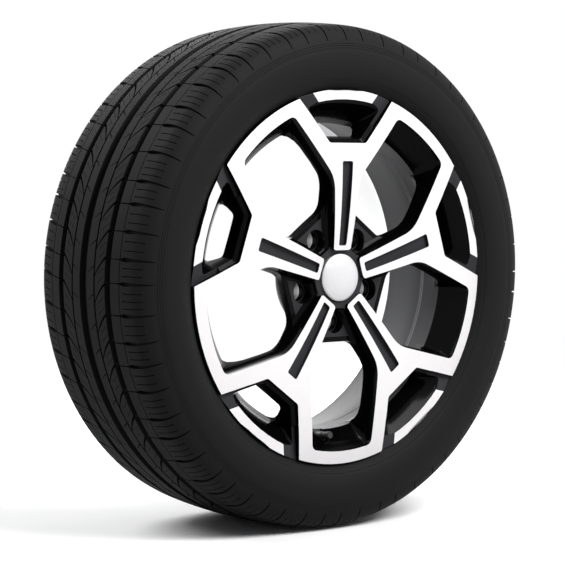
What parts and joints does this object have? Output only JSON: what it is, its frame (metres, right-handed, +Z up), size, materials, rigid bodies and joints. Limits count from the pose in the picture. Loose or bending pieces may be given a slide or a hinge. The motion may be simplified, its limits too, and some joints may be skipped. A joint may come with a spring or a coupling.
{
  "type": "wheel and tyre assembly",
  "caption": "Alloy road wheel with forked split spokes and a low profile road tyre on it, with its snap-in valve and clip-in centre cap, ready to bolt to a hub",
  "frame": {"origin": "on the wheel's axis, half way between the two rim flanges", "axes": "the wheel turns about Y, the styled face looks to -Y and +Z is up as in the picture"},
  "size_m": [0.6777, 0.243, 0.6758],
  "materials": {
    "alloy": "cast, painted gloss black with the face turned bright and lacquered",
    "tyre_rubber": "moulded rubber",
    "cap_white": "painted silver white",
    "spring_steel": "drawn wire",
    "valve_rubber": "moulded",
    "brass": "turned",
    "gasket": "turned",
    "plated_pin": "plated",
    "black_plastic": "moulded"
  },
  "bodies": {
    "wheel": {"alloy_wheel": "alloy", "tyre": "tyre_rubber", "centre_cap": "cap_white", "cap_spring_ring": "spring_steel", "valve_rubber": "valve_rubber", "valve_stem": "brass", "core_barrel": "brass", "core_gasket": "gasket", "core_spring": "spring_steel"},
    "cap_lining": {"cap_gasket": "valve_rubber"},
    "dust_cap": {"valve_cap": "black_plastic"},
    "valve_pin": {"core_pin": "plated_pin", "core_seal": "valve_rubber"}
  },
  "joints": [
    {"name": "cap_lift", "type": "slide", "parent": "wheel", "child": "cap_lining", "axis": [0.0145, -0.9781, 0.2074], "range_m": [0, 0.00397]},
    {"name": "cap_turn", "type": "hinge", "parent": "cap_lining", "child": "dust_cap", "pos_m": [-0.01467, -0.10194, -0.20975], "axis": [0.0145, -0.9781, 0.2074], "range_deg": [0, 1800]},
    {"name": "pin_press", "type": "slide", "parent": "wheel", "child": "valve_pin", "axis": [-0.0145, 0.9781, -0.2074], "range_m": [0, 0.0013], "stiffness_N_per_m": 900, "springref_m": -0.0015, "deforming": ["core_spring"]}
  ],
  "couplings": [
    {"joint": "cap_turn", "follows": "cap_lift", "rad_per_m": 7913.3}
  ]
}
